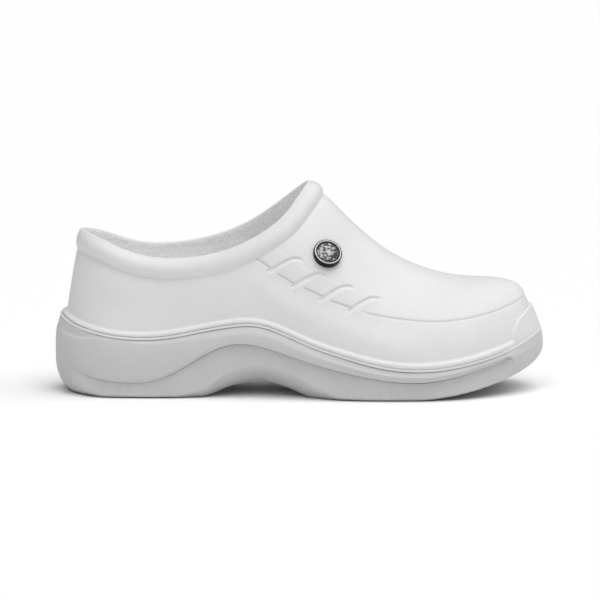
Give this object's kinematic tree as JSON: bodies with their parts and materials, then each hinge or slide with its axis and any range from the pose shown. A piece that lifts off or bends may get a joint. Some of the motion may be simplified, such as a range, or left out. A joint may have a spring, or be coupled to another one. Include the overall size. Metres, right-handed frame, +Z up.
{
  "type": "work clog",
  "caption": "Slip-on work clog in moulded white foam: closed heel and toe, rolled collar, arched cup sole with a ribbed tread and a round side rivet. Worn on the foot.",
  "frame": {"origin": "middle of the footprint's box, on the floor", "axes": "+X towards the toe, +Y towards the inner side of the foot, +Z up"},
  "size_m": [0.265, 0.0968, 0.1136],
  "materials": {
    "upper": "matt white closed-cell foam with a faint fine grain, pebbled inside",
    "midsole": "matt off-white closed-cell foam, smooth",
    "outsole": "matt off-white tread rubber with fine upright ribs on its side band",
    "insole": "matt white foam pad, dimpled",
    "badge_ring": "satin black",
    "badge_disc": "plain dark insert with a bright rim"
  },
  "bodies": {
    "root": {"upper": "upper", "midsole": "midsole", "outsole": "outsole", "insole": "insole", "badge_ring": "badge_ring", "badge_disc": "badge_disc"}
  },
  "joints": []
}
